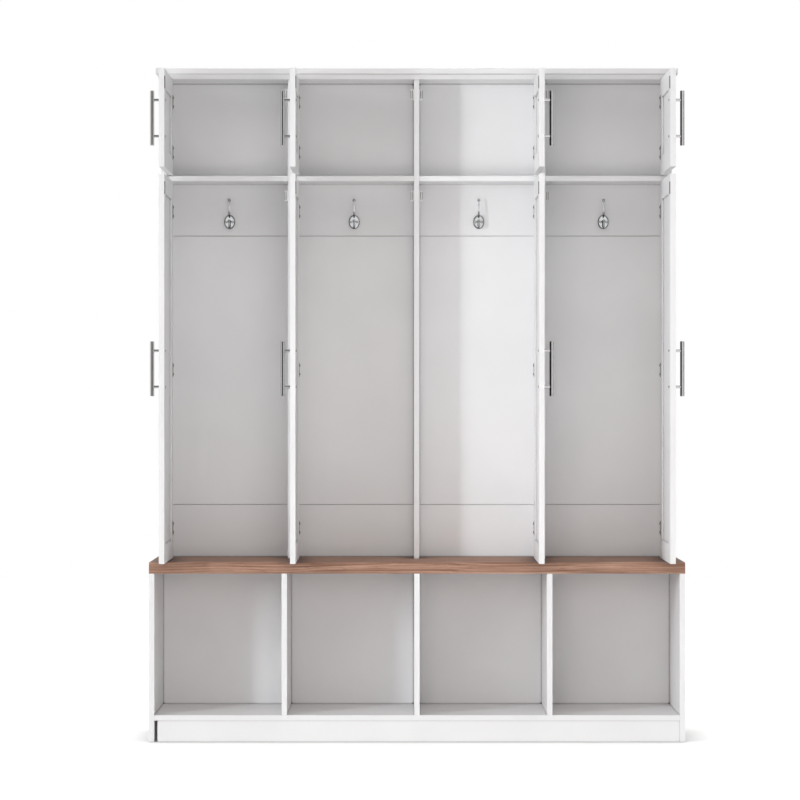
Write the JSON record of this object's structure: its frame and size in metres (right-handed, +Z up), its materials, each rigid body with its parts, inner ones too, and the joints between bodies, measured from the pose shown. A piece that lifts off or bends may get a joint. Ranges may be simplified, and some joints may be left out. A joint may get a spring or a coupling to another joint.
{
  "type": "hall tree",
  "caption": "Wide hall tree: a wooden bench over open cubbies carries a shallow white cabinet of coat lockers with hooks, cupboards above and framed doors with bar pulls.",
  "frame": {"origin": "on the floor, under the middle of the base's width and depth", "axes": "+X to the right seen from the front, +Y to the back (the wall), +Z up"},
  "size_m": [1.5, 0.4853, 1.904],
  "materials": {
    "white_lacquer": "satin white lacquer on board",
    "walnut_bench": "oiled walnut, satin",
    "polished_nickel": "polished nickel plate",
    "plated_steel": "bright zinc-plated steel",
    "white_plastic": "moulded, matte",
    "beech_dowels": "raw turned beech"
  },
  "bodies": {
    "carcass": {"assembly_dowels": "beech_dowels", "base_back": "white_lacquer", "base_dividers": "white_lacquer", "base_floor": "white_lacquer", "base_side_left": "white_lacquer", "base_side_right": "white_lacquer", "bench_top": "walnut_bench", "cap_board": "white_lacquer", "catch_steel": "plated_steel", "centre_support": "white_lacquer", "coat_hooks": "polished_nickel", "crown_moulding": "white_lacquer", "cupboard_back": "white_lacquer", "cupboard_shelves": "white_lacquer", "door_catches": "white_plastic", "frame_hinge_leaves": "plated_steel", "hinge_pins": "plated_steel", "hook_rail": "white_lacquer", "locker_back": "white_lacquer", "locker_side_left": "white_lacquer", "locker_side_right": "white_lacquer", "lower_rail": "white_lacquer", "partition_centre": "white_lacquer", "partition_left": "white_lacquer", "partition_right": "white_lacquer", "plinth_front": "white_lacquer", "plinth_rear": "white_lacquer", "top_panel": "white_lacquer"},
    "cupboard_door_1": {"cupboard_door_1_frame": "white_lacquer", "cupboard_door_1_panel": "white_lacquer", "cupboard_door_1_pull": "polished_nickel", "cupboard_door_1_fittings": "plated_steel"},
    "cupboard_door_2": {"cupboard_door_2_frame": "white_lacquer", "cupboard_door_2_panel": "white_lacquer", "cupboard_door_2_pull": "polished_nickel", "cupboard_door_2_fittings": "plated_steel"},
    "cupboard_door_3": {"cupboard_door_3_frame": "white_lacquer", "cupboard_door_3_panel": "white_lacquer", "cupboard_door_3_pull": "polished_nickel", "cupboard_door_3_fittings": "plated_steel"},
    "cupboard_door_4": {"cupboard_door_4_frame": "white_lacquer", "cupboard_door_4_panel": "white_lacquer", "cupboard_door_4_pull": "polished_nickel", "cupboard_door_4_fittings": "plated_steel"},
    "locker_door_1": {"locker_door_1_frame": "white_lacquer", "locker_door_1_panel": "white_lacquer", "locker_door_1_pull": "polished_nickel", "locker_door_1_fittings": "plated_steel"},
    "locker_door_2": {"locker_door_2_frame": "white_lacquer", "locker_door_2_panel": "white_lacquer", "locker_door_2_pull": "polished_nickel", "locker_door_2_fittings": "plated_steel"},
    "locker_door_3": {"locker_door_3_frame": "white_lacquer", "locker_door_3_panel": "white_lacquer", "locker_door_3_pull": "polished_nickel", "locker_door_3_fittings": "plated_steel"},
    "locker_door_4": {"locker_door_4_frame": "white_lacquer", "locker_door_4_panel": "white_lacquer", "locker_door_4_pull": "polished_nickel", "locker_door_4_fittings": "plated_steel"}
  },
  "joints": [
    {"name": "cupboard_door_1_hinge", "type": "hinge", "parent": "carcass", "child": "cupboard_door_1", "pos_m": [-0.714, 0.033, 1.736], "axis": [0, 0, 1], "range_deg": [-10, 90]},
    {"name": "cupboard_door_2_hinge", "type": "hinge", "parent": "carcass", "child": "cupboard_door_2", "pos_m": [-0.35275, 0.033, 1.736], "axis": [0, 0, 1], "range_deg": [-10, 90]},
    {"name": "cupboard_door_3_hinge", "type": "hinge", "parent": "carcass", "child": "cupboard_door_3", "pos_m": [0.35275, 0.033, 1.736], "axis": [0, 0, -1], "range_deg": [-10, 90]},
    {"name": "cupboard_door_4_hinge", "type": "hinge", "parent": "carcass", "child": "cupboard_door_4", "pos_m": [0.714, 0.033, 1.736], "axis": [0, 0, -1], "range_deg": [-10, 90]},
    {"name": "locker_door_1_hinge", "type": "hinge", "parent": "carcass", "child": "locker_door_1", "pos_m": [-0.714, 0.033, 1.043], "axis": [0, 0, 1], "range_deg": [-10, 90]},
    {"name": "locker_door_2_hinge", "type": "hinge", "parent": "carcass", "child": "locker_door_2", "pos_m": [-0.35275, 0.033, 1.043], "axis": [0, 0, 1], "range_deg": [-10, 90]},
    {"name": "locker_door_3_hinge", "type": "hinge", "parent": "carcass", "child": "locker_door_3", "pos_m": [0.35275, 0.033, 1.043], "axis": [0, 0, -1], "range_deg": [-10, 90]},
    {"name": "locker_door_4_hinge", "type": "hinge", "parent": "carcass", "child": "locker_door_4", "pos_m": [0.714, 0.033, 1.043], "axis": [0, 0, -1], "range_deg": [-10, 90]}
  ]
}
